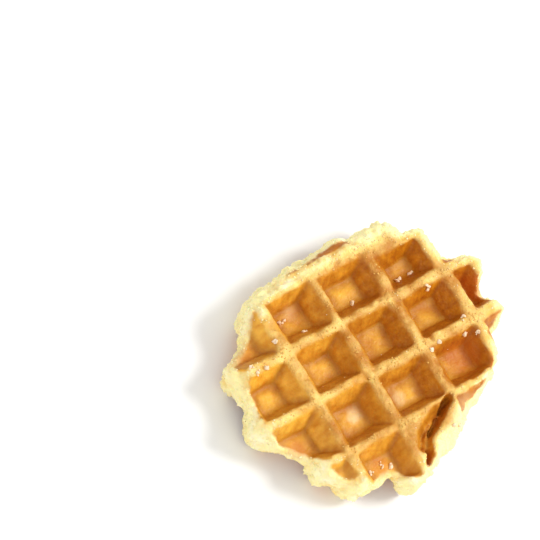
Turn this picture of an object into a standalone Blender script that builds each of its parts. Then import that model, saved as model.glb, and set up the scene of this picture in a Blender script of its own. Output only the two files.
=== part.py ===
"""A belgian waffle of the Liege kind: one thick, uneven cake of yeast dough, baked between two
plates with rows of square studs. The studs press a lattice of deep pockets into both faces, with
narrow ridges left between them, and the dough that ran outwards sets as a rounded, lobed rim.

The waffle lies flat. The origin is on the surface under its middle, X runs along its longer side,
and Z points up.
"""

import math

import bmesh
import bpy
from mathutils import Matrix, Vector, noise

MM = 0.001

# The plates: the height between them, and the lattice of studs, the same on both.
THICKNESS = 23.0 * MM
PITCH = Vector((23.0, 20.0)) * MM
FIRST_CROSSING = Vector((-30.8, 16.6)) * MM
POCKET_DEPTH = 9.0 * MM
POCKET_MOUTH = Vector((18.6, 15.8)) * MM
POCKET_FLOOR = Vector((11.0, 9.4)) * MM
POCKET_CORNER = 1.1 * MM
STUD_OVERRUN = 2.0 * MM
COLUMNS = range(-2, 4)
ROWS = range(-2, 4)

# The rim: half the width and length of the oval that the dough fills, and how wide its rounding is.
OVAL = Vector((50.0, 42.0)) * MM
OVAL_TURN = 8.0
RIM_ROUNDING = 7.0 * MM
RIM_SEGMENTS = 132
RIM_RINGS = 9
RIM_LUMP = 0.8 * MM
RIM_LUMP_LENGTH = 9.0 * MM

# Where the dough ran further out than the oval, or less far: angle and half-width in degrees, reach.
RIM_LOBES = (
    (15, 7, 8.4 * MM),
    (39, 7, 6.5 * MM),
    (55, 9, 7.0 * MM),
    (76, 13, 3.0 * MM),
    (104, 12, 2.2 * MM),
    (128, 14, 6.2 * MM),
    (157, 8, 6.6 * MM),
    (-179, 6, 4.6 * MM),
    (-157, 8, -4.0 * MM),
    (-130, 7, 2.0 * MM),
    (-115, 6, -3.5 * MM),
    (-103, 6, 3.6 * MM),
    (-84, 9, -2.6 * MM),
    (-66, 10, -1.0 * MM),
    (-51, 19, -6.4 * MM),
    (-14, 10, -2.0 * MM),
    (-4, 6, 5.6 * MM),
    (4, 4, -2.0 * MM),
)

# Lips that stand out over part of the rim's height only: angle and half-width in degrees, how
# high the lip is from 0 (bottom) to 1 (top), and its reach.
RIM_LIPS = (
    (-168, 10, 0.2, 0.8 * MM),
    (-128, 9, 0.2, 0.4 * MM),
    (-84, 12, 0.7, 1.0 * MM),
    (-52, 16, 0.3, 1.8 * MM),
    (20, 9, 0.25, 1.5 * MM),
    (70, 14, 0.3, 1.4 * MM),
    (100, 16, 0.75, 0.6 * MM),
    (148, 10, 0.2, 1.4 * MM),
)
LIP_HEIGHT = 0.22

# Studs at the edge of the dough that press a pocket unlike the others: the move of its middle, its
# width and length as a share of a full one, and its depth.
UNEVEN_POCKETS = {
    (-1, -1): {"depth": 7.5 * MM},
    (1, -1): {"move": (0.0, -0.7), "share": (1.0, 0.94)},
    (2, -1): {"move": (-0.4, -1.4), "share": (0.97, 0.86)},
    (0, -2): {"move": (0.0, 3.4), "depth": 3.5 * MM},
    (1, -2): {"move": (0.0, 3.4), "depth": 3.5 * MM},
    (3, 0): {"move": (-5.4, 0.3), "share": (0.42, 0.98), "depth": 8.5 * MM},
    (2, 2): {"move": (-1.4, 0.8), "depth": 3.6 * MM},
    (-1, 2): {"move": (1.4, 1.0), "share": (0.9, 0.87), "depth": 4.6 * MM},
}

# Where the upper plate left no pocket: a place past the edge of the dough, and one that the dough
# folded over and closed again but for a bent, narrowing gap.
PAST_THE_EDGE = (2, -2)
FOLDED_POCKET = (1, 2)

# The gap's line across the waffle, its width at the surface and at its bottom, and its depth.
FOLD_GAP = (
    Vector((13.4, -23.6)) * MM,
    Vector((11.0, -24.6)) * MM,
    Vector((8.0, -26.9)) * MM,
    Vector((4.3, -29.3)) * MM,
    Vector((1.8, -30.9)) * MM,
    Vector((-0.6, -32.3)) * MM,
    Vector((-2.0, -34.2)) * MM,
    Vector((-3.4, -36.6)) * MM,
    Vector((-5.0, -39.6)) * MM,
)
FOLD_GAP_MOUTH = 3.6 * MM
FOLD_GAP_FLOOR = 2.2 * MM
FOLD_GAP_DEPTH = 7.5 * MM


def across(angle, lobe_angle):
    """The difference between two angles, from -180 to 180 degrees."""
    return (angle - lobe_angle + 180) % 360 - 180


def oval_radius(angle):
    turned = math.radians(angle - OVAL_TURN)
    return 1 / math.hypot(math.cos(turned) / OVAL.x, math.sin(turned) / OVAL.y)


def rim_radius(angle, height):
    """How far the rim reaches at an angle in degrees, and a height from 0 (bottom) to 1 (top)."""
    reach = oval_radius(angle)
    for lobe_angle, width, out in RIM_LOBES:
        reach += out * math.exp(-((across(angle, lobe_angle) / width) ** 2))
    for lip_angle, width, level, out in RIM_LIPS:
        round_it = math.exp(-((across(angle, lip_angle) / width) ** 2))
        up_it = math.exp(-(((height - level) / LIP_HEIGHT) ** 2))
        reach += out * round_it * up_it
    slope = 2 * height - 1
    return reach - RIM_ROUNDING * (1 - math.sqrt(max(0.0, 1 - slope * slope)))


def rim_point(angle, height):
    turned = math.radians(angle)
    reach = rim_radius(angle, height)
    point = Vector((reach * math.cos(turned), reach * math.sin(turned), height * THICKNESS))
    free = 4 * height * (1 - height)
    lump = RIM_LUMP * free * noise.noise(point / RIM_LUMP_LENGTH)
    point.xy *= 1 + lump / reach
    return point


def new_object(name, bm, collection):
    mesh = bpy.data.meshes.new(name)
    bm.to_mesh(mesh)
    bm.free()
    piece = bpy.data.objects.new(name, mesh)
    collection.objects.link(piece)
    return piece


def make_dough(collection):
    """The cake before the studs: a short drum whose side is drawn out into the lobed, rounded rim."""
    bm = bmesh.new()
    bmesh.ops.create_cone(
        bm, cap_ends=True, segments=RIM_SEGMENTS, radius1=1.0, radius2=1.0, depth=2.0
    )
    upright = [edge for edge in bm.edges if abs(edge.verts[0].co.z - edge.verts[1].co.z) > 1]
    bmesh.ops.subdivide_edges(bm, edges=upright, cuts=RIM_RINGS - 2)
    for vert in bm.verts:
        angle = math.degrees(math.atan2(vert.co.y, vert.co.x))
        height = (1 + math.sin(vert.co.z * math.pi / 2)) / 2
        vert.co = rim_point(angle, height)
    for axis in (0, 1):
        places = [vert.co[axis] for vert in bm.verts]
        middle = (min(places) + max(places)) / 2
        for vert in bm.verts:
            vert.co[axis] -= middle
    return new_object("waffle", bm, collection)


def add_stud(bm, middle, share, depth, underside=False):
    """One stud: a four-sided block that narrows to its end, with rounded edges, past the face."""
    before = set(bm.verts)
    made = bmesh.ops.create_cube(bm, size=2.0)["verts"]
    draft = (POCKET_MOUTH - POCKET_FLOOR) / 2 / POCKET_DEPTH
    for vert in made:
        height = STUD_OVERRUN if vert.co.z > 0 else -depth
        half = POCKET_MOUTH / 2 + draft * height
        vert.co = Vector((vert.co.x * half.x * share[0], vert.co.y * half.y * share[1], height))
    edges = {edge for vert in made for edge in vert.link_edges}
    bmesh.ops.bevel(
        bm,
        geom=[edge for edge in edges if min(vert.co.z for vert in edge.verts) < 0],
        offset=POCKET_CORNER * min(share),
        segments=2,
        profile=0.5,
        affect="EDGES",
    )
    made = [vert for vert in bm.verts if vert not in before]
    if underside:
        bmesh.ops.transform(bm, matrix=Matrix.Diagonal((1, 1, -1, 1)), verts=made)
        faces = {face for vert in made for face in vert.link_faces}
        bmesh.ops.reverse_faces(bm, faces=list(faces))
    face_height = 0.0 if underside else THICKNESS
    bmesh.ops.translate(bm, verts=made, vec=(middle.x, middle.y, face_height))


def make_studs(collection):
    """The studs of both plates, one for each pocket that reaches the dough."""
    bm = bmesh.new()
    for column in COLUMNS:
        for row in ROWS:
            uneven = UNEVEN_POCKETS.get((column, row), {})
            middle = FIRST_CROSSING + Vector(((column + 0.5) * PITCH.x, -(row + 0.5) * PITCH.y))
            middle += Vector(uneven.get("move", (0.0, 0.0))) * MM
            share = uneven.get("share", (1.0, 1.0))
            depth = uneven.get("depth", POCKET_DEPTH)
            add_stud(bm, middle, share, depth, underside=True)
            if (column, row) not in (PAST_THE_EDGE, FOLDED_POCKET):
                add_stud(bm, middle, share, depth)
    return new_object("plate_studs", bm, collection)


def make_fold_gap(collection):
    """The gap's cutter: a narrowing groove section carried along the gap's line, closed at both ends."""
    bm = bmesh.new()
    widening = (FOLD_GAP_MOUTH - FOLD_GAP_FLOOR) / FOLD_GAP_DEPTH
    top_half = (FOLD_GAP_MOUTH + widening * STUD_OVERRUN) / 2
    top, bottom = THICKNESS + STUD_OVERRUN, THICKNESS - FOLD_GAP_DEPTH
    floor_half = FOLD_GAP_FLOOR / 2
    section = ((top_half, top), (-top_half, top), (-floor_half, bottom), (floor_half, bottom))
    rings = []
    for index, place in enumerate(FOLD_GAP):
        ahead = FOLD_GAP[min(index + 1, len(FOLD_GAP) - 1)]
        behind = FOLD_GAP[max(index - 1, 0)]
        sideways = (ahead - behind).normalized().orthogonal()
        rings.append(
            [bm.verts.new((*(place + sideways * out), height)) for out, height in section]
        )
    for ring, following in zip(rings, rings[1:]):
        for corner in range(4):
            after = (corner + 1) % 4
            bm.faces.new((ring[corner], ring[after], following[after], following[corner]))
    bm.faces.new(rings[0])
    bm.faces.new(rings[-1])
    bmesh.ops.recalc_face_normals(bm, faces=bm.faces[:])
    return new_object("fold_gap", bm, collection)


def cut(piece, cutter):
    modifier = piece.modifiers.new(cutter.name, "BOOLEAN")
    modifier.operation = "DIFFERENCE"
    modifier.solver = "EXACT"
    modifier.object = cutter
    cutter.hide_render = True
    cutter.display_type = "WIRE"


def baked_dough_material():
    material = bpy.data.materials.new("baked dough")
    material.use_nodes = True
    shader = material.node_tree.nodes["Principled BSDF"]
    shader.inputs["Base Color"].default_value = (0.80, 0.46, 0.12, 1.0)
    shader.inputs["Roughness"].default_value = 0.55
    shader.inputs["Metallic"].default_value = 0.0
    return material


for leftover in list(bpy.data.objects):
    bpy.data.objects.remove(leftover)

waffle_parts = bpy.data.collections.new("belgian waffle")
plates = bpy.data.collections.new("plates")
bpy.context.scene.collection.children.link(waffle_parts)
bpy.context.scene.collection.children.link(plates)

waffle = make_dough(waffle_parts)
cut(waffle, make_studs(plates))
cut(waffle, make_fold_gap(plates))
waffle.data.materials.append(baked_dough_material())
waffle.data.shade_smooth()
waffle.data.set_sharp_from_angle(angle=math.radians(35))
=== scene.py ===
import math
import random

import bmesh
import bpy
from mathutils import Euler, Matrix, Vector, noise
from mathutils.bvhtree import BVHTree


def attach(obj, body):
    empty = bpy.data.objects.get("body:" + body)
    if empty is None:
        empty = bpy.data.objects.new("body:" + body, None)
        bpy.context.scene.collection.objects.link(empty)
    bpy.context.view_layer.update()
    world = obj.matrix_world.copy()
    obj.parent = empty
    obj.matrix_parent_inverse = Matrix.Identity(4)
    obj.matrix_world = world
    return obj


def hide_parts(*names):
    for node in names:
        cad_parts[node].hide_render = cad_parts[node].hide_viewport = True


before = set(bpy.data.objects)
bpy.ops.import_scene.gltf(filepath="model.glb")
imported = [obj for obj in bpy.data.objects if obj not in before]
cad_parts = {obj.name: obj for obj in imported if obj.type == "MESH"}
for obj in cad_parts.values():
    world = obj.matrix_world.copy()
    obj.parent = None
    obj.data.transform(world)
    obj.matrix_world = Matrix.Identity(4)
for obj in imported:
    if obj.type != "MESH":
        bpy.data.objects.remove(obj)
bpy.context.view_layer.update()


# ---- The dough before it is pressed ----
# A lump of yeast dough that the two hot plates squeeze flat. It runs outwards between them, further
# at some places than at others, and the edge that no plate touches sets as a rounded, lobed rim.
# Sizes are in millimetres here and up to the finished cake, which is then scaled to metres.

THICKNESS = 23.0
OVAL = (50.0, 42.0)
OVAL_TURN = 8.0
RIM_ROUNDING = 7.0
RIM_STEPS = 240
RIM_LEVELS = 15
# Each lobe's direction and half-width in degrees, and how far it reaches out.
RIM_LOBES = (
    (15, 7, 8.4), (39, 7, 6.5), (55, 9, 7.0), (76, 13, 3.0), (104, 12, 2.2), (128, 14, 6.2),
    (157, 8, 6.6), (-179, 6, 4.6), (-157, 8, -4.0), (-130, 7, 2.0), (-115, 6, -3.5),
    (-103, 6, 3.6), (-84, 9, -2.6), (-66, 10, -1.0), (-51, 19, -6.4), (-14, 10, -2.0),
    (-4, 6, 5.6), (4, 4, -2.0),
)
# Each lip's direction and half-width, its level from 0 at the table to 1 at the top, and its reach.
RIM_LIPS = (
    (-168, 10, 0.2, 0.8), (-128, 9, 0.2, 0.4), (-84, 12, 0.7, 1.0), (-52, 16, 0.3, 1.8),
    (20, 9, 0.25, 1.5), (70, 14, 0.3, 1.4), (100, 16, 0.75, 0.6), (148, 10, 0.2, 1.4),
)
LIP_HEIGHT = 0.22


def turn_between(angle, other):
    """The short way round from one direction to another, in degrees."""
    return (angle - other + 180) % 360 - 180


def rim_reach(angle, height):
    """How far the rim reaches at an angle in degrees and a height from 0 to 1."""
    turned = math.radians(angle - OVAL_TURN)
    reach = 1 / math.hypot(math.cos(turned) / OVAL[0], math.sin(turned) / OVAL[1])
    for lobe, width, out in RIM_LOBES:
        reach += out * math.exp(-((turn_between(angle, lobe) / width) ** 2))
    for lip, width, level, out in RIM_LIPS:
        lift = math.exp(-(((height - level) / LIP_HEIGHT) ** 2))
        reach += out * lift * math.exp(-((turn_between(angle, lip) / width) ** 2))
    slope = 2 * height - 1
    return reach - RIM_ROUNDING * (1 - math.sqrt(max(0.0, 1 - slope * slope)))


def make_unpressed_dough():
    """A drum whose side is drawn out into the rim, with its box centred on the z axis."""
    bm = bmesh.new()
    bmesh.ops.create_cone(bm, cap_ends=True, segments=RIM_STEPS, radius1=1, radius2=1, depth=2)
    upright = [edge for edge in bm.edges if abs(edge.verts[0].co.z - edge.verts[1].co.z) > 1]
    bmesh.ops.subdivide_edges(bm, edges=upright, cuts=RIM_LEVELS)
    for vert in bm.verts:
        angle = math.atan2(vert.co.y, vert.co.x)
        height = (1 + math.sin(vert.co.z * math.pi / 2)) / 2
        reach = rim_reach(math.degrees(angle), height)
        vert.co = (reach * math.cos(angle), reach * math.sin(angle), height * THICKNESS)
    for axis in (0, 1):
        places = [vert.co[axis] for vert in bm.verts]
        middle = (min(places) + max(places)) / 2
        for vert in bm.verts:
            vert.co[axis] -= middle
    mesh = bpy.data.meshes.new("unpressed dough")
    bm.to_mesh(mesh)
    bm.free()
    return bpy.data.objects.new("unpressed dough", mesh)


unpressed_dough = make_unpressed_dough()


# ---- The waffle plates ----
# Cast plates with rows of four-sided studs that narrow to their ends. Each stud presses one
# pocket. Where one meets the edge of the dough, its pocket comes out shallow, narrow or closed.

PITCH = (23.0, 20.0)
FIRST_CROSSING = (-30.8, 16.6)
COLUMNS = range(-3, 5)
ROWS = range(-3, 5)
POCKET_DEPTH = 9.0
POCKET_MOUTH = (20.6, 17.8)
# How far the walls lean in, for each millimetre of depth.
DRAFT = (0.53, 0.465)
STUD_UNEVENNESS = 0.4
NO_STUD = (-20.0, -20.0, 1.0)
# The odd pockets of the top: by column and row, how far each is moved, and its half-sizes and depth.
TOP_POCKETS = {
    (-1, -1): ((0.0, 0.0), (10.0, 8.5, 7.5)),
    (0, -2): ((0.0, 1.6), (10.0, 8.5, 3.5)),
    (1, -2): ((0.0, 2.6), (10.0, 8.5, 3.5)),
    (2, -2): ((0.0, 0.0), NO_STUD),
    (1, -1): ((0.0, -0.7), (10.3, 8.2, 9.0)),
    (2, -1): ((-0.4, -1.7), (10.0, 7.2, 9.0)),
    (3, 0): ((-5.4, 0.3), (4.8, 8.6, 8.5)),
    (2, 2): ((-1.4, 0.8), (10.2, 8.6, 3.6)),
    (-1, 2): ((1.4, 1.0), (9.2, 7.6, 4.6)),
    (1, 2): ((0.0, 0.0), NO_STUD),
}

# The fold: dough that ran back over one stud and closed its pocket, but for a bent gap with a slope
# beside it. The gap narrows at a neck, between two places along y, and widens again to a pit.
FOLD_GAP = (
    (13.4, -23.6), (11.0, -24.6), (8.0, -26.9), (4.3, -29.3), (1.8, -30.9), (-0.6, -32.3),
    (-2.0, -34.2), (-3.4, -36.6), (-5.0, -39.6),
)
FOLD_GAP_HALF = 1.1
FOLD_GAP_WIDENING = 0.8
FOLD_GAP_DRAFT = 0.2
FOLD_GAP_DEPTH = 7.5
FOLD_NECK_END = -33.0
FOLD_NECK_START = -30.0
FOLD_PIT_START = -34.6
FOLD_PIT_FULL = -36.4
FOLD_SLOPE = ((7.4, -26.0), (2.4, -28.2), (-1.8, -30.6), (-4.0, -34.0))
FOLD_SLOPE_HALF = 3.6
FOLD_SLOPE_DRAFT = 0.62


def make_stud_table():
    """One point for each stud, column by column, with the move and half-size of its pocket."""
    dice = random.Random(7)
    moves = {"top move": [], "under move": []}
    sizes = {"top size": [], "under size": []}
    places = []
    for column in COLUMNS:
        for row in ROWS:
            places.append(((column + 0.5) * PITCH[0], -(row + 0.5) * PITCH[1], 0))
            usual = (POCKET_MOUTH[0] / 2, POCKET_MOUTH[1] / 2, POCKET_DEPTH)
            for side in ("top", "under"):
                move, size = (0.0, 0.0), usual
                if side == "top" and (column, row) in TOP_POCKETS:
                    move, size = TOP_POCKETS[column, row]
                jitter = [dice.uniform(-STUD_UNEVENNESS, STUD_UNEVENNESS) for _ in range(5)]
                moves[side + " move"].append((move[0] + jitter[0], move[1] + jitter[1], 0))
                sizes[side + " size"].append([a + b for a, b in zip(size, jitter[2:])])
    mesh = bpy.data.meshes.new("studs")
    mesh.from_pydata(places, [], [])
    for name, rows in {**moves, **sizes}.items():
        attribute = mesh.attributes.new(name, "FLOAT_VECTOR", "POINT")
        attribute.data.foreach_set("vector", [number for row in rows for number in row])
    return bpy.data.objects.new("studs", mesh)


def make_path(name, places):
    mesh = bpy.data.meshes.new(name)
    links = [(point, point + 1) for point in range(len(places) - 1)]
    mesh.from_pydata([(x, y, 0) for x, y in places], links, [])
    return bpy.data.objects.new(name, mesh)


studs = make_stud_table()
fold_gap = make_path("fold gap", FOLD_GAP)
fold_slope = make_path("fold slope", FOLD_SLOPE)


# ---- The pressed and baked waffle ----
# One solid cake. Its shape follows a rule: the dough, less what both sets of studs push away, with
# soft corners and a crumb that is smooth where the plates touch and lumpy where they don't.

class Number:
    """A number in a node tree that can be added, multiplied and compared like a plain one."""

    def __init__(self, tree, socket):
        self.tree = tree
        self.socket = socket

    def make(self, operation, *others):
        inputs = dict(enumerate((self, *others)))
        node = add_node(self.tree, "ShaderNodeMath", inputs, operation=operation)
        return Number(self.tree, node.outputs[0])

    def __add__(self, other):
        return self.make("ADD", other)

    def __sub__(self, other):
        return self.make("SUBTRACT", other)

    def __rsub__(self, other):
        return self.make("MULTIPLY", -1.0).make("ADD", other)

    def __mul__(self, other):
        return self.make("MULTIPLY", other)

    def __truediv__(self, other):
        return self.make("DIVIDE", other)

    def __neg__(self):
        return self.make("MULTIPLY", -1.0)

    def size(self):
        return self.make("ABSOLUTE")

    def floor(self):
        return self.make("FLOOR")

    def least(self, other):
        return self.make("MINIMUM", other)

    def most(self, other):
        return self.make("MAXIMUM", other)

    def soft_most(self, other, radius):
        return self.make("SMOOTH_MAX", other, radius)

    def soft_least(self, other, radius):
        return self.make("SMOOTH_MIN", other, radius)

    def ramp(self, low, high):
        """0 below low, 1 above high, and smooth between."""
        inputs = {"Value": self, "From Min": low, "From Max": high}
        node = add_node(self.tree, "ShaderNodeMapRange", inputs, interpolation_type="SMOOTHSTEP")
        return Number(self.tree, node.outputs["Result"])


def plug(tree, value, socket):
    """Joins a number or another node's socket to this one, or sets it to a plain value."""
    if isinstance(value, Number):
        tree.links.new(value.socket, socket)
    elif isinstance(value, bpy.types.NodeSocket):
        tree.links.new(value, socket)
    else:
        socket.default_value = value


def add_node(tree, kind, inputs, **settings):
    """A new node with its settings, and its inputs by their labels or places."""
    node = tree.nodes.new(kind)
    for name, value in settings.items():
        setattr(node, name, value)
    for label, value in inputs.items():
        plug(tree, value, node.inputs[label])
    return node


def vector_math(tree, operation, *inputs):
    return add_node(tree, "ShaderNodeVectorMath", dict(enumerate(inputs)), operation=operation)


def parts_of(tree, vector):
    node = add_node(tree, "ShaderNodeSeparateXYZ", {0: vector})
    return [Number(tree, output) for output in node.outputs]


def vector_of(tree, x, y, z):
    return add_node(tree, "ShaderNodeCombineXYZ", {0: x, 1: y, 2: z}).outputs[0]


def lumps(tree, place, length, detail=1.0, roughness=0.5):
    """Noise from about -1 to 1 whose lumps are the given length, in the units of place."""
    inputs = {"Vector": place, "Scale": 1 / length, "Detail": detail, "Roughness": roughness}
    node = add_node(tree, "ShaderNodeTexNoise", inputs)
    return Number(tree, node.outputs["Fac"]) * 3.0 - 1.5


def new_geometry_tree(name, inputs):
    """An empty tree with its named inputs, those inputs by name, and where its result goes."""
    tree = bpy.data.node_groups.new(name, "GeometryNodeTree")
    tree.interface.new_socket("Geometry", in_out="INPUT", socket_type="NodeSocketGeometry")
    tree.interface.new_socket("Geometry", in_out="OUTPUT", socket_type="NodeSocketGeometry")
    for label, kind in inputs:
        tree.interface.new_socket(label, in_out="INPUT", socket_type="NodeSocket" + kind)
    entry = tree.nodes.new("NodeGroupInput")
    leave = tree.nodes.new("NodeGroupOutput")
    named = {socket.name: socket for socket in entry.outputs if socket.name}
    return tree, named, leave.inputs["Geometry"]


def object_mesh(tree, socket):
    return add_node(tree, "GeometryNodeObjectInfo", {"Object": socket}).outputs["Geometry"]


def named_value(tree, name, kind):
    node = add_node(tree, "GeometryNodeInputNamedAttribute", {"Name": name}, data_type=kind)
    return node.outputs["Attribute"]


def sampled(tree, geometry, name, index):
    """The three parts of a geometry's named vector at one of its points."""
    value = named_value(tree, name, "FLOAT_VECTOR")
    inputs = {"Geometry": geometry, "Value": value, "Index": index}
    settings = {"data_type": "FLOAT_VECTOR", "clamp": True}
    node = add_node(tree, "GeometryNodeSampleIndex", inputs, **settings)
    return parts_of(tree, node.outputs["Value"])


def store(tree, geometry, name, value):
    inputs = {"Geometry": geometry, "Name": name, "Value": value}
    settings = {"data_type": "FLOAT", "domain": "POINT"}
    node = add_node(tree, "GeometryNodeStoreNamedAttribute", inputs, **settings)
    return node.outputs["Geometry"]


def nearest_on(tree, geometry, element, place):
    """The nearest point on a geometry's faces, edges or points, and how far off it is."""
    inputs = {0: geometry, "Source Position": place}
    node = add_node(tree, "GeometryNodeProximity", inputs, target_element=element)
    return node.outputs["Position"], Number(tree, node.outputs["Distance"])


def finish_tree(tree, geometry, material, result):
    """Ends a tree with a smooth, real mesh in its material."""
    smooth = add_node(tree, "GeometryNodeSetShadeSmooth", {"Geometry": geometry})
    real = add_node(tree, "GeometryNodeRealizeInstances", {"Geometry": smooth.outputs[0]})
    inputs = {"Geometry": real.outputs[0], "Material": material}
    tree.links.new(add_node(tree, "GeometryNodeSetMaterial", inputs).outputs[0], result)


CORNER = 1.4
# The rows of pockets wander a little, each way with its own length of wave.
WAVE = 0.6
WAVE_LENGTHS = (14.0, 13.0)
# A place so far off that noise there owes nothing to the noise here.
ELSEWHERE = (31.0, 57.0, 11.0)


def nearest_stud(tree, place, elsewhere, pitch):
    """How far a place is from the middle of its stud each way, and that stud's number."""
    x, y, _ = parts_of(tree, place)
    wave_x = lumps(tree, place, WAVE_LENGTHS[0]) * WAVE
    wave_y = lumps(tree, elsewhere, WAVE_LENGTHS[1]) * WAVE
    from_first_x = x - FIRST_CROSSING[0] + wave_x
    from_first_y = FIRST_CROSSING[1] - y + wave_y
    column = (from_first_x / pitch[0]).floor()
    row = (from_first_y / pitch[1]).floor()
    across_x = from_first_x - (column + 0.5) * pitch[0]
    across_y = (row + 0.5) * pitch[1] - from_first_y
    index = (column - COLUMNS[0]) * float(len(ROWS)) + (row - ROWS[0])
    return across_x, across_y, index


def stud_distance(tree, table, side, depth, across, index, corner):
    """How far a place is outside its stud, and how far it is from the stud's end edges and corners."""
    move_x, move_y, _ = sampled(tree, table, side + " move", index)
    half_x, half_y, full_depth = sampled(tree, table, side + " size", index)
    beyond_x = (across[0] - move_x).size() - half_x + depth * DRAFT[0]
    beyond_y = (across[1] - move_y).size() - half_y + depth * DRAFT[1]
    wall = beyond_x.soft_most(beyond_y, corner)
    end = depth - full_depth
    # The creases, along the foot of the walls and up the upright corners, get painted shade.
    upright_corner = (beyond_x - beyond_y).size() + (end - wall).most(0.0) * 2.0
    crease = (wall - end).size().least(upright_corner)
    return wall.soft_most(end, corner), crease.most(-wall - 1.0)


BLISTER_LENGTH = 6.0
BLISTER_HEIGHT = 0.55
FRAY_LENGTH = 2.4
FRAY_HEIGHT = 0.5
FRAY_DEPTHS = (1.0, 3.0)


def wall_unevenness(tree, place, depth):
    """Blisters on the walls of the pockets, and frayed dough where they end in a ridge."""
    blister = lumps(tree, place, BLISTER_LENGTH) * BLISTER_HEIGHT
    fraying = lumps(tree, place, FRAY_LENGTH, detail=2.0, roughness=0.6) * FRAY_HEIGHT
    return blister + fraying * (1.0 - depth.ramp(*FRAY_DEPTHS))


FOLD_ROUNDING = 1.0
FOLD_WAVER = 0.5
FOLD_FRAY_LENGTH = 1.9
FOLD_FRAY = 0.35
FOLD_SLOPE_WAVER = 0.4
FOLD_SLOPE_LEAN = 0.8
FOLD_SLOPE_ROUNDING = 0.8


def fold_distance(tree, lines, place, elsewhere, depth, waver):
    """How far a place is outside the fold's gap, and outside the gap and slope together."""
    x, y, _ = parts_of(tree, place)
    flat_place = vector_of(tree, x, y, 0.0)
    _, gap_reach = nearest_on(tree, lines[0], "EDGES", flat_place)
    wider = y.ramp(FOLD_NECK_END, FOLD_NECK_START) + (-y).ramp(-FOLD_PIT_START, -FOLD_PIT_FULL)
    ragged = waver * FOLD_WAVER + lumps(tree, elsewhere, FOLD_FRAY_LENGTH) * FOLD_FRAY
    gap = gap_reach - FOLD_GAP_HALF - wider * FOLD_GAP_WIDENING + ragged
    gap = gap + depth * FOLD_GAP_DRAFT
    gap = gap.soft_most(depth - FOLD_GAP_DEPTH, FOLD_ROUNDING)
    _, slope_reach = nearest_on(tree, lines[1], "EDGES", flat_place)
    slope = slope_reach - FOLD_SLOPE_HALF + depth * FOLD_SLOPE_DRAFT + waver * FOLD_SLOPE_WAVER
    return gap, gap.soft_least(slope * FOLD_SLOPE_LEAN, FOLD_SLOPE_ROUNDING)


RIM_LUMP_LENGTH = 7.5
RIM_LUMP_HEIGHT = 1.1
RIM_CRUMB_LENGTH = 3.4
RIM_CRUMB_HEIGHT = 1.2
CRACK_SPACING = 9.0
CRACK_WIDTH = 0.35
CRACK_DEPTH = 0.6
CRUMBLY_LENGTH = 13.0
CRUMBLY_RANGE = (-0.2, 0.5)
CRUMBLE_LENGTH = 1.8
CRUMBLE_HEIGHT = 0.7


def dough_distance(tree, dough, place, elsewhere):
    """How far a place is outside the dough, with the lumps, cracks and torn patches of its rim."""
    nearest, reach = nearest_on(tree, dough, "FACES", place)
    facing = tree.nodes.new("GeometryNodeInputNormal").outputs[0]
    inputs = {"Mesh": dough, "Value": facing, "Sample Position": place}
    kind = "GeometryNodeSampleNearestSurface"
    normal = add_node(tree, kind, inputs, data_type="FLOAT_VECTOR").outputs[0]
    outward = vector_math(tree, "SUBTRACT", place, nearest).outputs[0]
    side = Number(tree, vector_math(tree, "DOT_PRODUCT", outward, normal).outputs["Value"])
    body = reach * side.make("SIGN")
    body = body + lumps(tree, place, RIM_LUMP_LENGTH) * RIM_LUMP_HEIGHT
    fine = lumps(tree, place, RIM_CRUMB_LENGTH, detail=2.0, roughness=0.6)
    body = body + fine * RIM_CRUMB_HEIGHT
    crack = 1.0 - lumps(tree, elsewhere, CRACK_SPACING, detail=2.0).size().ramp(0.0, CRACK_WIDTH)
    crumbly = lumps(tree, place, CRUMBLY_LENGTH).ramp(*CRUMBLY_RANGE)
    torn = lumps(tree, elsewhere, CRUMBLE_LENGTH) * crumbly * CRUMBLE_HEIGHT
    return body + crack * CRACK_DEPTH + torn


UNFILLED_LENGTH = 3.6
UNFILLED_START = 0.4
UNFILLED_EVERYWHERE = 0.25
UNFILLED_ON_RIDGES = 0.35
UNFILLED_AT_RIM = 1.1
RIM_TO_FILLED = (2.0, 9.0)


def plates_distance(tree, place, thickness, cross_ridge, from_side):
    """How far a place is past the plates' flats, which the dough fills badly near its rim."""
    z = parts_of(tree, place)[2]
    rough = lumps(tree, place, UNFILLED_LENGTH, detail=3.0, roughness=0.6)
    rough = rough.most(-UNFILLED_START) + UNFILLED_START
    near_rim = 1.0 - from_side.ramp(*RIM_TO_FILLED)
    share = cross_ridge * UNFILLED_ON_RIDGES + UNFILLED_EVERYWHERE + near_rim * UNFILLED_AT_RIM
    return (z - thickness).most(-z) + rough * share


VOXEL = 0.61
MESHED_LOW = (-60.0, -50.0, -2.0)
MESHED_HIGH = (60.0, 50.0, THICKNESS + 2.0)


def skin_of(tree, solid):
    """The mesh of the surface where the distance to the solid is 0."""
    cube = tree.nodes.new("GeometryNodeVolumeCube")
    plug(tree, -solid, cube.inputs["Density"])
    cube.inputs["Background"].default_value = -1.0
    cube.inputs["Min"].default_value = MESHED_LOW
    cube.inputs["Max"].default_value = MESHED_HIGH
    for low, high, label in zip(MESHED_LOW, MESHED_HIGH, "XYZ"):
        cube.inputs["Resolution " + label].default_value = round((high - low) / VOXEL)
    inputs = {"Volume": cube.outputs["Volume"], "Threshold": 0.0}
    return add_node(tree, "GeometryNodeVolumeToMesh", inputs).outputs["Mesh"]


TOAST_FADE = (0.3, 1.0)
TOAST_WAVER = 0.8
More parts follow.
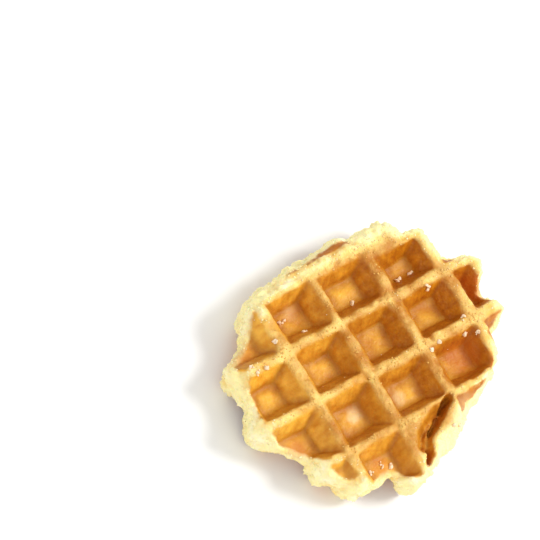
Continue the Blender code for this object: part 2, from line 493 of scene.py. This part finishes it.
# Spots that baked darker or, below 0, stayed pale under melted sugar: place, radius and how much.
TOAST_SPOTS = (
    ((-42.8, -13.7, 15.0), 6.0, 0.6),
    ((-19.5, -32.3, 14.5), 6.0, 0.6),
    ((44.8, 8.0, 16.0), 9.0, 0.8),
    ((-4.2, -37.6, 17.0), 4.5, 1.0),
    ((7.0, -27.4, 16.0), 4.0, 0.6),
    ((30.0, -11.0, 15.0), 11.0, 0.8),
    ((-17.3, -12.5, 14.5), 4.5, -0.8),
    ((1.0, -14.6, 14.0), 4.0, -0.6),
    ((-18.0, 29.0, 15.0), 5.0, -0.3),
    ((20.0, -28.5, 20.0), 7.0, -0.4),
    ((-43.0, 24.0, 16.0), 8.0, 0.5),
    ((10.5, -28.5, 22.0), 5.0, 0.35),
)


def make_spots():
    """One point for each toasted or sugared spot."""
    mesh = bpy.data.meshes.new("spots")
    mesh.from_pydata([place for place, _, _ in TOAST_SPOTS], [], [])
    attribute = mesh.attributes.new("spot", "FLOAT_VECTOR", "POINT")
    for spot, (_, radius, redness) in zip(attribute.data, TOAST_SPOTS):
        spot.vector = (radius, redness, 0)
    return bpy.data.objects.new("spots", mesh)


def toast_at(tree, spots, place, waver):
    """How much redder or, below 0, how much whiter the nearest spot makes a place."""
    inputs = {"Geometry": spots, "Sample Position": place}
    nearest = add_node(tree, "GeometryNodeSampleNearest", inputs).outputs["Index"]
    radius, redness, _ = sampled(tree, spots, "spot", Number(tree, nearest))
    _, reach = nearest_on(tree, spots, "POINTS", place)
    return (1.0 - ((reach + waver * TOAST_WAVER) / radius).ramp(*TOAST_FADE)) * redness


# What colours the crust. Each pair is where a mark starts to change and where it stops.
INSIDE_RIM = (3.0, 9.5)
PRESSED_DEPTHS = (0.3, 2.6)
PRESSED_FROM_SIDE = (0.8, 3.4)
TOUCHED = (0.4, 1.8)
RIDGE_DEPTHS = (1.2, 3.0)
# Painted shade in the creases: how wide it spreads and how much its edge wavers.
CREASE_WIDTH = 3.6
CREASE_WAVER = 0.5
WARMED = (0.6, 3.8)
WARM_LENGTH = 3.0
WARM_WAVER = 0.9
WARMED_BY_FOLD = (0.3, 2.6)
THIN_RIM = (1.0, 5.0)
THIN_RIM_WARMTH = 0.4
# The walls that face +y get painted shade: where it starts and where it is full.
SHADED_WALL_FACING = (0.15, 0.75)
# The rim's hollows, where the noise that lumps the rim sinks it, get painted shade.
HOLLOW_SHADE_RANGE = (-0.3, 0.7)
INNER = (4.0, 17.0)
INNER_WAVER = 1.5


def stud_marks(depth, top, under, fold, gap, from_side, waver, warm_waver):
    """How brown and warm a place is, and how near a crease that gets painted shade, from its distance
    and crease at each of its studs.
    """
    inside = from_side.ramp(*INSIDE_RIM)
    pressed = inside.most(depth.ramp(*PRESSED_DEPTHS) * from_side.ramp(*PRESSED_FROM_SIDE))
    touch = 1.0 - top[0].least(fold).size().least(under[0].size()).ramp(*TOUCHED)
    ridge = (1.0 - depth.ramp(*RIDGE_DEPTHS)) * inside
    crease = (top[1].least(under[1]) + waver * CREASE_WAVER).ramp(0.0, CREASE_WIDTH)
    stud_reach = top[0].size().least(under[0].size())
    warm = 1.0 - (stud_reach + warm_waver).ramp(*WARMED)
    warm = warm.most(1.0 - gap.ramp(*WARMED_BY_FOLD))
    thick_rim = from_side.ramp(*THIN_RIM) * (1 - THIN_RIM_WARMTH) + THIN_RIM_WARMTH
    return (touch * pressed).most(ridge), 1.0 - crease, warm * thick_rim


WAVER_LENGTH = 3.5
CROSS_RIDGE_EDGES = (7.0, 9.0)
SIDE_LENGTH = 3.0
SIDE_WAVER = 0.6
PLATES_ROUNDING = 0.6
TOP_ROUNDING = 2.0
UNDER_ROUNDING = 1.4
MILLIMETRE = 0.001


def make_press_tree():
    tree, named, result = new_geometry_tree(
        "press the waffle",
        (
            ("Dough", "Object"),
            ("Studs", "Object"),
            ("Fold Gap", "Object"),
            ("Fold Slope", "Object"),
            ("Spots", "Object"),
            ("Pitch X", "Float"),
            ("Pitch Y", "Float"),
            ("Thickness", "Float"),
            ("Corner", "Float"),
            ("Material", "Material"),
        ),
    )
    thickness = Number(tree, named["Thickness"])
    corner = Number(tree, named["Corner"])
    pitch = [Number(tree, named[label]) for label in ("Pitch X", "Pitch Y")]
    dough, table, spots = [object_mesh(tree, named[label]) for label in ("Dough", "Studs", "Spots")]
    lines = [object_mesh(tree, named[label]) for label in ("Fold Gap", "Fold Slope")]
    place = tree.nodes.new("GeometryNodeInputPosition").outputs[0]
    elsewhere = vector_math(tree, "ADD", place, ELSEWHERE).outputs[0]
    x, y, z = parts_of(tree, place)
    top_depth = thickness - z
    depth = top_depth.least(z)
    waver = lumps(tree, place, WAVER_LENGTH)

    *across, index = nearest_stud(tree, place, elsewhere, pitch)
    uneven = wall_unevenness(tree, place, depth)
    top_stud, top_crease = stud_distance(tree, table, "top", top_depth, across, index, corner)
    under_stud, under_crease = stud_distance(tree, table, "under", z, across, index, corner)
    top_stud = top_stud + uneven
    under_stud = under_stud + uneven
    gap, fold = fold_distance(tree, lines, place, elsewhere, top_depth, waver)

    body = dough_distance(tree, dough, place, elsewhere)
    cross_ridge = across[1].size().ramp(*CROSS_RIDGE_EDGES)
    middle_place = vector_of(tree, x, y, thickness / 2.0)
    from_side = nearest_on(tree, dough, "FACES", middle_place)[1]
    from_side = from_side + lumps(tree, place, SIDE_LENGTH) * SIDE_WAVER
    plates = plates_distance(tree, place, thickness, cross_ridge, from_side)
    solid = body.soft_most(plates, PLATES_ROUNDING)
    solid = solid.soft_most(-top_stud.least(fold), TOP_ROUNDING)
    solid = solid.soft_most(-under_stud, UNDER_ROUNDING)

    top = (top_stud, top_crease)
    under = (under_stud, under_crease)
    warm_waver = lumps(tree, place, WARM_LENGTH) * WARM_WAVER
    brown, crease, warm = stud_marks(depth, top, under, fold, gap, from_side, waver, warm_waver)
    coarse = lumps(tree, place, RIM_LUMP_LENGTH)
    fine = lumps(tree, place, RIM_CRUMB_LENGTH, detail=2.0, roughness=0.6)
    # How much each wall faces +y, which marks where shade is painted on the walls.
    facing_y = parts_of(tree, tree.nodes.new("GeometryNodeInputNormal").outputs[0])[1]
    marks = {
        "brown": brown,
        "crease": crease,
        "cross ridge": cross_ridge,
        "depth": depth / POCKET_DEPTH,
        "far wall": facing_y.ramp(*SHADED_WALL_FACING),
        # The hollows between the rim's lumps, for painted shade.
        "hollow": ((coarse + fine) * 0.5).ramp(*HOLLOW_SHADE_RANGE),
        "inner": (from_side + waver * INNER_WAVER).ramp(*INNER),
        "toast": toast_at(tree, spots, place, waver),
        "warm": warm,
    }
    geometry = skin_of(tree, solid)
    for name, value in marks.items():
        geometry = store(tree, geometry, name, value)
    inputs = {"Geometry": geometry, "Scale": (MILLIMETRE, MILLIMETRE, MILLIMETRE)}
    metres = add_node(tree, "GeometryNodeTransform", inputs).outputs[0]
    finish_tree(tree, metres, named["Material"], result)
    return tree


def baked(name, tree, values):
    """A plain mesh object made by a tree, with the modifier gone."""
    source = bpy.data.objects.new(tree.name, bpy.data.meshes.new(tree.name))
    bpy.context.scene.collection.objects.link(source)
    modifier = source.modifiers.new(tree.name, "NODES")
    modifier.node_group = tree
    for item in tree.interface.items_tree:
        if item.in_out == "INPUT" and item.name in values:
            modifier[item.identifier] = values[item.name]
    bpy.context.view_layer.update()
    graph = bpy.context.evaluated_depsgraph_get()
    mesh = bpy.data.meshes.new_from_object(source.evaluated_get(graph))
    bpy.data.objects.remove(source)
    mesh.name = name
    piece = bpy.data.objects.new(name, mesh)
    bpy.context.scene.collection.objects.link(piece)
    return piece


RIDGE_TAN = (0.48, 0.16, 0.004)
RIDGE_PALE = (0.97, 0.72, 0.22)
COOL_WALL_DARK = (0.72, 0.27, 0.008)
COOL_WALL_LIGHT = (0.98, 0.57, 0.07)
HOT_WALL_DARK = (0.32, 0.068, 0.0005)
HOT_WALL_LIGHT = (0.68, 0.25, 0.006)
# Painted shade on the walls that face +y.
PAINTED_FAR_WALL_SHADE = (0.34, 0.085, 0.002)
FLOOR_DARK = (0.52, 0.18, 0.004)
FLOOR_LIGHT = (0.86, 0.48, 0.05)
# Painted shade in the creases and corners of the pockets.
PAINTED_CREASE_SHADE = (0.36, 0.095, 0.002)
RIM_CREAM = (0.97, 0.84, 0.40)
RIM_WHITE = (0.98, 0.91, 0.62)
# Golden for the rim near the pockets, and painted shade in the rim's hollows.
RIM_GOLDEN_AND_HOLLOW_SHADE = (0.83, 0.50, 0.10)
TOASTED = (0.54, 0.14, 0.012)
SUGARED = (0.88, 0.66, 0.34)
# The patterns in the crust, by the length of their patches in metres.
CLOUDS = 0.009
DRIFT = 0.006
MOTTLE = 0.0026
FLECKS = 0.0009
STREAKS = 0.0018
STREAK_FLATTENING = (1, 1, 0.12)
# Parts of the pocket depth where the wall and the floor begin, and the hotter plate side along x.
WALL_START = (0.03, 0.25)
FLOOR_START = (0.84, 0.95)
HOTTER_SIDE = (-0.055, 0.034)


def attribute_value(tree, name):
    node = add_node(tree, "ShaderNodeAttribute", {}, attribute_name=name)
    return Number(tree, node.outputs["Fac"])


def mixed(tree, amount, first, second):
    """The first colour where the amount is 0, the second where it is 1, and a blend between."""
    node = add_node(tree, "ShaderNodeMix", {"Factor": amount}, data_type="RGBA")
    for slot, colour in ((6, first), (7, second)):
        plug(tree, (*colour, 1) if isinstance(colour, tuple) else colour, node.inputs[slot])
    return node.outputs[2]


def baked_dough_material():
    """Tan ridges, amber walls darker on the hotter side, orange floors, a cream rim, and painted shade
    in creases, on walls facing +y and in the rim's hollows.
    """
    material = bpy.data.materials.new("baked dough")
    material.use_nodes = True
    tree = material.node_tree
    shader = tree.nodes["Principled BSDF"]
    place = tree.nodes.new("ShaderNodeTexCoord").outputs["Object"]
    names = ("brown", "crease", "cross ridge", "depth", "far wall", "hollow", "inner", "toast", "warm")
    marks = {name: attribute_value(tree, name) for name in names}

    clouds = lumps(tree, place, CLOUDS, detail=3.0, roughness=0.55)
    drift = lumps(tree, place, DRIFT)
    mottle = lumps(tree, place, MOTTLE, detail=3.0, roughness=0.6)
    fleck = lumps(tree, place, FLECKS, detail=2.0)
    drawn_out = add_node(tree, "ShaderNodeMapping", {"Vector": place, "Scale": STREAK_FLATTENING})
    streak = lumps(tree, drawn_out.outputs[0], STREAKS, detail=2.0)

    depth = marks["depth"] + clouds * 0.04
    wall = depth.ramp(*WALL_START)
    floor = depth.ramp(*FLOOR_START)
    hotter = (parts_of(tree, place)[0] + clouds * 0.012).ramp(*HOTTER_SIDE)
    tops = marks["cross ridge"] * 0.4 - marks["inner"] * 1.1
    tops = tops + clouds + drift * 0.5 + mottle * 0.3
    ridge = mixed(tree, tops.ramp(-1.7, 1.2), RIDGE_TAN, RIDGE_PALE)
    streaks = (streak * 0.7 + drift * 0.4 + clouds * 0.4).ramp(-1.2, 1.0)
    cooler_sides = mixed(tree, streaks, COOL_WALL_DARK, COOL_WALL_LIGHT)
    hotter_sides = mixed(tree, streaks, HOT_WALL_DARK, HOT_WALL_LIGHT)
    sides = mixed(tree, hotter, cooler_sides, hotter_sides)
    # Painted shade on the walls that face +y.
    sides = mixed(tree, marks["far wall"] * 0.55, sides, PAINTED_FAR_WALL_SHADE)
    blotches = (mottle * 0.25 + drift * 0.8 + clouds * 0.5).ramp(-1.1, 0.9)
    base = mixed(tree, blotches, FLOOR_DARK, FLOOR_LIGHT)
    crust = mixed(tree, floor, mixed(tree, wall, ridge, sides), base)
    # Painted shade along the creases and corners of the pockets, so the floors are darker at their
    # edges.
    crust = mixed(tree, marks["crease"] * wall * 0.6, crust, PAINTED_CREASE_SHADE)
    # The rim is golden near the pockets and by the fold, with painted shade in the hollows between its
    # lumps.
    golden_and_hollow_shade = marks["hollow"] * 0.6 + marks["warm"] * 0.75 + mottle * 0.1
    cream = mixed(tree, clouds.ramp(0.0, 0.8), RIM_CREAM, RIM_WHITE)
    pale = mixed(tree, golden_and_hollow_shade.ramp(0.1, 1.2), cream, RIM_GOLDEN_AND_HOLLOW_SHADE)
    brown = (marks["brown"] + mottle * 0.15 + clouds * 0.1).ramp(0.1, 0.9)
    colour = mixed(tree, brown, pale, crust)
    colour = mixed(tree, marks["toast"].ramp(0.0, 1.0) * 0.75, colour, TOASTED)
    colour = mixed(tree, (-marks["toast"]).ramp(0.0, 1.0) * 0.75, colour, SUGARED)
    plug(tree, colour, shader.inputs["Base Color"])
    plug(tree, (fleck * 0.08 + 0.62) - brown * 0.14, shader.inputs["Roughness"])
    shader.inputs["Specular IOR Level"].default_value = 0.3
    shader.inputs["Subsurface Weight"].default_value = 0.25
    shader.inputs["Subsurface Radius"].default_value = (0.0018, 0.0011, 0.0004)
    shader.inputs["Subsurface Scale"].default_value = 1.0
    grain = fleck * (0.6 - wall * brown * 0.45) + mottle * 0.6
    inputs = {"Strength": 0.5, "Distance": 0.0006, "Height": grain}
    plug(tree, add_node(tree, "ShaderNodeBump", inputs).outputs[0], shader.inputs["Normal"])
    return material


spots = make_spots()
helpers = (unpressed_dough, studs, fold_gap, fold_slope, spots)
for helper in helpers:
    bpy.context.scene.collection.objects.link(helper)
waffle = baked(
    "waffle_cake",
    make_press_tree(),
    {
        "Dough": unpressed_dough,
        "Studs": studs,
        "Fold Gap": fold_gap,
        "Fold Slope": fold_slope,
        "Spots": spots,
        "Pitch X": PITCH[0],
        "Pitch Y": PITCH[1],
        "Thickness": THICKNESS,
        "Corner": CORNER,
        "Material": baked_dough_material(),
    },
)
for helper in helpers:
    bpy.data.objects.remove(helper)
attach(waffle, "root")
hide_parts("waffle")


# ---- Crumbs and fine sugar on the crust ----
# Dough that tore at the edges of the grooves left crumbs on the ridges and the rim, and fine grains
# of sugar stick to the top of the ridges. Sizes are in metres from here on.

CRUMBS_EACH_SQUARE_METRE = 900000.0
CRUMB_SIZES = (0.0003, 0.001)
CRUMB_ROUGHNESS = 0.0007
CRUMB_CLEARANCE = 0.001
CRUMB_PATCHES_EACH_METRE = 230
CRUMB_CREAM = (0.97, 0.86, 0.48)
CRUMB_TAN = (0.70, 0.34, 0.036)
GRAINS_EACH_SQUARE_METRE = 22000.0
GRAIN_SIZES = (0.00025, 0.00055)
GRAIN_ROUGHNESS = 0.0003
DENTS_EACH_METRE = 2500.0
SUGAR_BEIGE = (0.90, 0.66, 0.43)


def make_scatter_tree():
    """Rough grains on random places of a surface, thickest where its attribute says, made real."""
    tree, named, result = new_geometry_tree(
        "scatter grains",
        (
            ("Surface", "Object"),
            ("Thickness Name", "String"),
            ("Grains Each Square Metre", "Float"),
            ("Smallest", "Float"),
            ("Largest", "Float"),
            ("Roughness", "Float"),
            ("Subdivisions", "Int"),
            ("Seed", "Int"),
            ("Material", "Material"),
        ),
    )
    seed = named["Seed"]
    share = Number(tree, named_value(tree, named["Thickness Name"], "FLOAT"))
    density = share * Number(tree, named["Grains Each Square Metre"])
    inputs = {"Mesh": object_mesh(tree, named["Surface"]), "Density": density, "Seed": seed}
    spread = add_node(tree, "GeometryNodeDistributePointsOnFaces", inputs).outputs["Points"]
    inputs = {"Radius": 0.5, "Subdivisions": named["Subdivisions"]}
    ball = add_node(tree, "GeometryNodeMeshIcoSphere", inputs).outputs["Mesh"]
    inputs = {"Max": (math.tau, math.tau, math.tau), "Seed": seed}
    turn = add_node(tree, "FunctionNodeRandomValue", inputs, data_type="FLOAT_VECTOR").outputs[0]
    least, most = [vector_of(tree, *[named[label]] * 3) for label in ("Smallest", "Largest")]
    inputs = {"Min": least, "Max": most, "Seed": seed}
    size = add_node(tree, "FunctionNodeRandomValue", inputs, data_type="FLOAT_VECTOR").outputs[0]
    inputs = {"Points": spread, "Instance": ball, "Rotation": turn, "Scale": size}
    copies = add_node(tree, "GeometryNodeInstanceOnPoints", inputs).outputs[0]
    real = add_node(tree, "GeometryNodeRealizeInstances", {"Geometry": copies}).outputs[0]
    place = tree.nodes.new("GeometryNodeInputPosition").outputs[0]
    inputs = {"Vector": place, "Scale": DENTS_EACH_METRE}
    dents = add_node(tree, "ShaderNodeTexNoise", inputs).outputs["Color"]
    centred = vector_math(tree, "SUBTRACT", dents, (0.5, 0.5, 0.5)).outputs[0]
    scaled = vector_math(tree, "SCALE", centred)
    plug(tree, named["Roughness"], scaled.inputs["Scale"])
    inputs = {"Geometry": real, "Offset": scaled.outputs[0]}
    rough = add_node(tree, "GeometryNodeSetPosition", inputs).outputs[0]
    finish_tree(tree, rough, named["Material"], result)
    return tree


def crumb_share(brown, depth, cross, place, upward):
    """Patchy, on the ridges and the pale rim, but clear of the table."""
    if place.z < CRUMB_CLEARANCE:
        return 0.0
    patchy = min(1.0, max(0.05, 0.55 + 1.6 * noise.noise(place * CRUMB_PATCHES_EACH_METRE)))
    on_ridge = max(0.0, 1 - depth * 6) * (0.45 + 0.55 * cross)
    return patchy * (on_ridge if brown > 0.5 else 0.35)


def grain_share(brown, depth, cross, place, upward):
    """On what faces up, thickest on the tops of the ridges."""
    return 0.0 if upward < 0.2 else 0.06 + 0.94 * max(0.0, 1 - depth * 5)


def write_share(name, rule):
    """Writes what a rule says at each point of the cake as an attribute of that name."""
    mesh = waffle.data
    labels = ("brown", "depth", "cross ridge")
    columns = [[item.value for item in mesh.attributes[label].data] for label in labels]
    attribute = mesh.attributes.new(name, "FLOAT", "POINT")
    for point, (vert, *marks) in enumerate(zip(mesh.vertices, *columns)):
        attribute.data[point].value = rule(*marks, vert.co, vert.normal.z)


def crumb_material():
    """The cake's own colours: cream on the rim and tan on the browned ridges."""
    material = bpy.data.materials.new("dough crumb")
    material.use_nodes = True
    tree = material.node_tree
    shader = tree.nodes["Principled BSDF"]
    tan = attribute_value(tree, "brown") * (attribute_value(tree, "inner") * 0.35 + 0.65)
    plug(tree, mixed(tree, tan, CRUMB_CREAM, CRUMB_TAN), shader.inputs["Base Color"])
    shader.inputs["Roughness"].default_value = 0.7
    shader.inputs["Specular IOR Level"].default_value = 0.3
    return material


def sugar_material():
    material = bpy.data.materials.new("pearl sugar")
    material.use_nodes = True
    shader = material.node_tree.nodes["Principled BSDF"]
    shader.inputs["Base Color"].default_value = (*SUGAR_BEIGE, 1)
    shader.inputs["Roughness"].default_value = 0.4
    shader.inputs["Subsurface Weight"].default_value = 0.2
    shader.inputs["Subsurface Radius"].default_value = (0.0006, 0.0004, 0.0002)
    shader.inputs["Subsurface Scale"].default_value = 1.0
    return material


write_share("crumb share", crumb_share)
write_share("grain share", grain_share)
scatter = make_scatter_tree()
pearl_sugar = sugar_material()
crumbs = baked(
    "dough_crumbs",
    scatter,
    {
        "Surface": waffle,
        "Thickness Name": "crumb share",
        "Grains Each Square Metre": CRUMBS_EACH_SQUARE_METRE,
        "Smallest": CRUMB_SIZES[0],
        "Largest": CRUMB_SIZES[1],
        "Roughness": CRUMB_ROUGHNESS,
        "Subdivisions": 1,
        "Seed": 3,
        "Material": crumb_material(),
    },
)
grains = baked(
    "sugar_grains",
    scatter,
    {
        "Surface": waffle,
        "Thickness Name": "grain share",
        "Grains Each Square Metre": GRAINS_EACH_SQUARE_METRE,
        "Smallest": GRAIN_SIZES[0],
        "Largest": GRAIN_SIZES[1],
        "Roughness": GRAIN_ROUGHNESS,
        "Subdivisions": 1,
        "Seed": 8,
        "Material": pearl_sugar,
    },
)
for piece in (crumbs, grains):
    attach(piece, "root")


# ---- Nibs of pearl sugar ----
# Lumps of sugar that were kneaded into the dough. The ones that the plates bared have half melted,
# and what is left of each is a small clump of rough nibs, stuck to the crust.

# Where the clumps lie, in millimetres, as are their spread and the height their nibs drop from.
SUGAR_CLUMPS = (
    (-18, 21), (4, 22), (24, 22), (30, 22), (-23, 28), (-33, 22), (32, -6), (36, -8), (17, -6),
    (21, -5), (29, 14), (-45, 15), (-41, 15), (-46, 18), (-19, -32), (-24, -33), (-16, -34),
    (9, -33), (12, -33), (34, -1),
)
CLUMP_SPREAD = 0.42
DROP_HEIGHT = 60
NIBS_EACH_CLUMP = 4
NIB_RADII = (0.00035, 0.0008)
NIB_STRETCH = (0.7, 1.25)
NIB_SUNK = 0.4
NIB_DENTS_EACH_METRE = 1100
NIB_DENT = 0.7
NIB_DENT_SEED = 5


def nib_places():
    """A place on the cake's skin for each nib, straight below a random place near its clump's."""
    dice = random.Random(11)
    skin = BVHTree.FromObject(waffle, bpy.context.evaluated_depsgraph_get())
    places = []
    for x, y in SUGAR_CLUMPS:
        for _ in range(NIBS_EACH_CLUMP):
            start = (x + dice.gauss(0, CLUMP_SPREAD), y + dice.gauss(0, CLUMP_SPREAD), DROP_HEIGHT)
            places.append(skin.ray_cast(Vector(start) / 1000, Vector((0, 0, -1)))[0])
    return places


def make_nibs():
    dice = random.Random(5)
    noise.seed_set(NIB_DENT_SEED)
    bm = bmesh.new()
    for place in nib_places():
        size = dice.uniform(*NIB_RADII)
        turn = Euler([dice.uniform(0, math.tau) for _ in range(3)]).to_matrix().to_4x4()
        shape = Matrix.Diagonal([dice.uniform(*NIB_STRETCH) for _ in range(3)]).to_4x4()
        matrix = Matrix.Translation(place + Vector((0, 0, size * NIB_SUNK))) @ turn @ shape
        made = bmesh.ops.create_icosphere(bm, subdivisions=2, radius=size, matrix=matrix)
        for point in made["verts"]:
            point.co += noise.noise_vector(point.co * NIB_DENTS_EACH_METRE) * size * NIB_DENT
    mesh = bpy.data.meshes.new("pearl_sugar_nibs")
    bm.to_mesh(mesh)
    bm.free()
    mesh.materials.append(pearl_sugar)
    mesh.shade_smooth()
    piece = bpy.data.objects.new("pearl_sugar_nibs", mesh)
    bpy.context.scene.collection.objects.link(piece)
    return piece


nibs = make_nibs()
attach(nibs, "root")


# ---- The table, the light and the camera ----
# A plain pale table top, a soft studio light from the right, and a camera that looks down on the
# waffle from beyond its left end.

TABLE_HALF = 1.5
TABLE_WHITE = (0.92, 0.92, 0.92)
KEY_DIRECTION = (0.9, -0.43, 1.3)
FILL_DIRECTION = (-1.1, -0.5, 0.9)
SURROUNDINGS = 0.82
# The place in the middle of the view, the view's own directions and its width at that place.
CAMERA_AIM = (-0.013786, 0.046272, 0.010055)
CAMERA_RIGHT = (0.7843, -0.5174, 0.3423)
CAMERA_UP = (0.4135, 0.8473, 0.3334)
CAMERA_DISTANCE = 6.0
VIEW_WIDTH = 0.185567


def make_table():
    mesh = bpy.data.meshes.new("table")
    corners = [(-1, -1), (1, -1), (1, 1), (-1, 1)]
    mesh.from_pydata([(x * TABLE_HALF, y * TABLE_HALF, 0) for x, y in corners], [], [(0, 1, 2, 3)])
    table = bpy.data.objects.new("table", mesh)
    bpy.context.scene.collection.objects.link(table)
    material = bpy.data.materials.new("pale table")
    material.use_nodes = True
    shader = material.node_tree.nodes["Principled BSDF"]
    shader.inputs["Base Color"].default_value = (*TABLE_WHITE, 1)
    shader.inputs["Roughness"].default_value = 0.9
    mesh.materials.append(material)


def add_light(name, direction, distance, size, watts):
    data = bpy.data.lights.new(name, "AREA")
    data.shape = "DISK"
    data.size = size
    data.energy = watts
    lamp = bpy.data.objects.new(name, data)
    place = Vector(direction).normalized() * distance
    lamp.matrix_world = Matrix.Translation(place) @ place.to_track_quat("Z", "Y").to_matrix().to_4x4()
    bpy.context.scene.collection.objects.link(lamp)


def light_surroundings():
    world = bpy.data.worlds.new("studio")
    bpy.context.scene.world = world
    world.use_nodes = True
    background = world.node_tree.nodes["Background"]
    background.inputs["Color"].default_value = (1, 1, 1, 1)
    background.inputs["Strength"].default_value = SURROUNDINGS


def make_camera():
    right = Vector(CAMERA_RIGHT).normalized()
    back = right.cross(Vector(CAMERA_UP)).normalized()
    up = back.cross(right)
    data = bpy.data.cameras.new("camera")
    data.sensor_width = 36
    data.lens = data.sensor_width * CAMERA_DISTANCE / VIEW_WIDTH
    camera = bpy.data.objects.new("camera", data)
    turned = Matrix((right, up, back)).transposed().to_4x4()
    camera.matrix_world = Matrix.Translation(Vector(CAMERA_AIM) + back * CAMERA_DISTANCE) @ turned
    bpy.context.scene.collection.objects.link(camera)
    bpy.context.scene.camera = camera


make_table()
add_light("key light", KEY_DIRECTION, distance=1.2, size=0.5, watts=10)
add_light("fill light", FILL_DIRECTION, distance=1.5, size=1.2, watts=3.5)
light_surroundings()
bpy.context.scene.view_settings.view_transform = "Standard"
make_camera()
